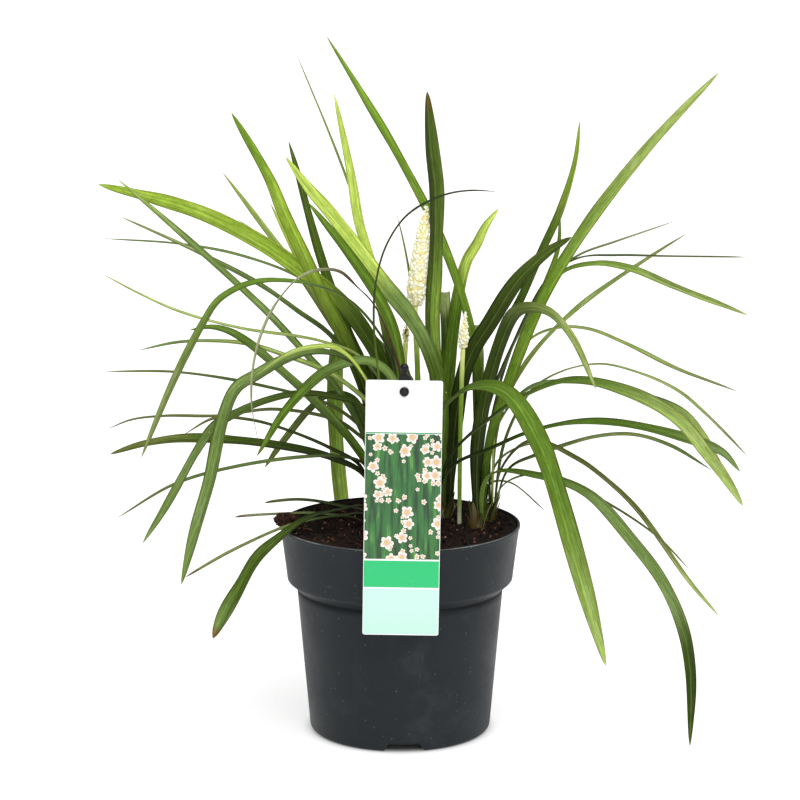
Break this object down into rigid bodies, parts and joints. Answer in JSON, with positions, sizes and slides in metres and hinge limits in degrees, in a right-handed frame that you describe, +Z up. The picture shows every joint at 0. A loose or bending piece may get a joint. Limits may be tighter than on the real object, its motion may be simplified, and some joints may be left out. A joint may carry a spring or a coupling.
{
  "type": "potted liriope",
  "caption": "White-flowered lily turf in a tapered nursery pot: arching grass-like leaves, slim flower spikes with cream buds, soil, and a blank hang card on a stake.",
  "frame": {"origin": "centre of the pot's foot, on the surface that the pot stands on", "axes": "+Z up, -Y towards the front, where the card hangs, +X to the right seen from the front"},
  "size_m": [0.4545, 0.3008, 0.4876],
  "materials": {
    "pot_plastic": "dark grey moulded plastic, satin, lightly scuffed",
    "peat": "crumbly dark peat with fibres and pale grit",
    "card": null,
    "stake_plastic": "black moulded plastic, glossy",
    "leaf": "leathery green leaf with fine lengthwise veins, satin",
    "dry_leaf": "withered leaf, pale and brown-grey, matt",
    "flower_stem": "pale green stem, matt",
    "bud": "waxy cream flower buds"
  },
  "bodies": {
    "root": {"pot": "pot_plastic", "soil": "peat", "label_card": "card", "label_stake": "stake_plastic", "tuft_left_front": "leaf", "tuft_left_low": "leaf", "tuft_left": "leaf", "tuft_left_back": "leaf", "tuft_front": "leaf", "tuft_middle": "leaf", "tuft_middle_back": "leaf", "tuft_back": "leaf", "tuft_right": "leaf", "tuft_right_front": "leaf", "tuft_right_back": "leaf", "tuft_right_low": "leaf", "withered_blade": "dry_leaf", "spike_tall_scape": "flower_stem", "spike_tall_buds": "bud", "spike_short_scape": "flower_stem", "spike_short_buds": "bud", "spike_young_scape": "flower_stem", "spike_young_buds": "bud"}
  },
  "joints": []
}
